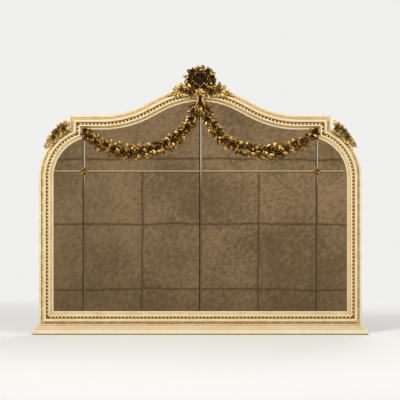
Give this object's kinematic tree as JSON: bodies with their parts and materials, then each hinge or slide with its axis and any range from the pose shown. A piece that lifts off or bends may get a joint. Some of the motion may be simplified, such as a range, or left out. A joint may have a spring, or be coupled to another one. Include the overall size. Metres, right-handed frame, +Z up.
{
  "type": "louis xvi style mirror",
  "caption": "Wide overmantel mirror in a cream moulded frame with a serpentine head, gilt leaf swags, crest and corner sprays, bevelled panes and a moulded sill.",
  "frame": {"origin": "middle of the underside of the sill, at half the depth of the sill", "axes": "+X to the right as seen from the front, +Y to the wall, +Z up; the glass faces -Y"},
  "size_m": [2.002, 0.11, 1.6138],
  "materials": {
    "cream_paint": "aged cream paint on gesso",
    "ochre_paint": "ochre glaze in the recesses",
    "mirror_glass": "old silvered glass",
    "gilding": "water gilding, worn and toned",
    "pine": "bare sawn pine",
    "iron": "dark iron",
    "brass_screw": "toned brass"
  },
  "bodies": {
    "root": {"sill": "cream_paint", "bottom_rail": "cream_paint", "left_stile": "cream_paint", "right_stile": "cream_paint", "left_shoulder": "cream_paint", "right_shoulder": "cream_paint", "left_ear": "cream_paint", "right_ear": "cream_paint", "left_top_rail": "cream_paint", "right_top_rail": "cream_paint", "left_sweep": "cream_paint", "right_sweep": "cream_paint", "left_ramp": "cream_paint", "right_ramp": "cream_paint", "centre_arch": "cream_paint", "bottom_tongues": "ochre_paint", "left_stile_tongues": "ochre_paint", "right_stile_tongues": "ochre_paint", "left_head_tongues": "ochre_paint", "right_head_tongues": "ochre_paint", "arch_tongues": "ochre_paint", "pane_lower_1": "mirror_glass", "pane_lower_2": "mirror_glass", "pane_lower_3": "mirror_glass", "pane_lower_4": "mirror_glass", "pane_upper_1": "mirror_glass", "pane_upper_2": "mirror_glass", "pane_upper_3": "mirror_glass", "pane_upper_4": "mirror_glass", "left_rosette": "gilding", "right_rosette": "gilding", "rosette_screws": "brass_screw", "left_swag": "gilding", "right_swag": "gilding", "centre_drop": "gilding", "crest": "gilding", "left_spray": "gilding", "right_spray": "gilding", "back_sole": "pine", "left_back_stile": "pine", "right_back_stile": "pine", "left_back_shoulder": "pine", "right_back_shoulder": "pine", "left_back_head": "pine", "right_back_head": "pine", "back_arch": "pine", "backboard_1": "pine", "backboard_2": "pine", "backboard_3": "pine", "backboard_4": "pine", "backboard_5": "pine", "upper_batten": "pine", "lower_batten": "pine", "left_hanging_plate": "iron", "right_hanging_plate": "iron", "plate_screws": "iron"}
  },
  "joints": []
}
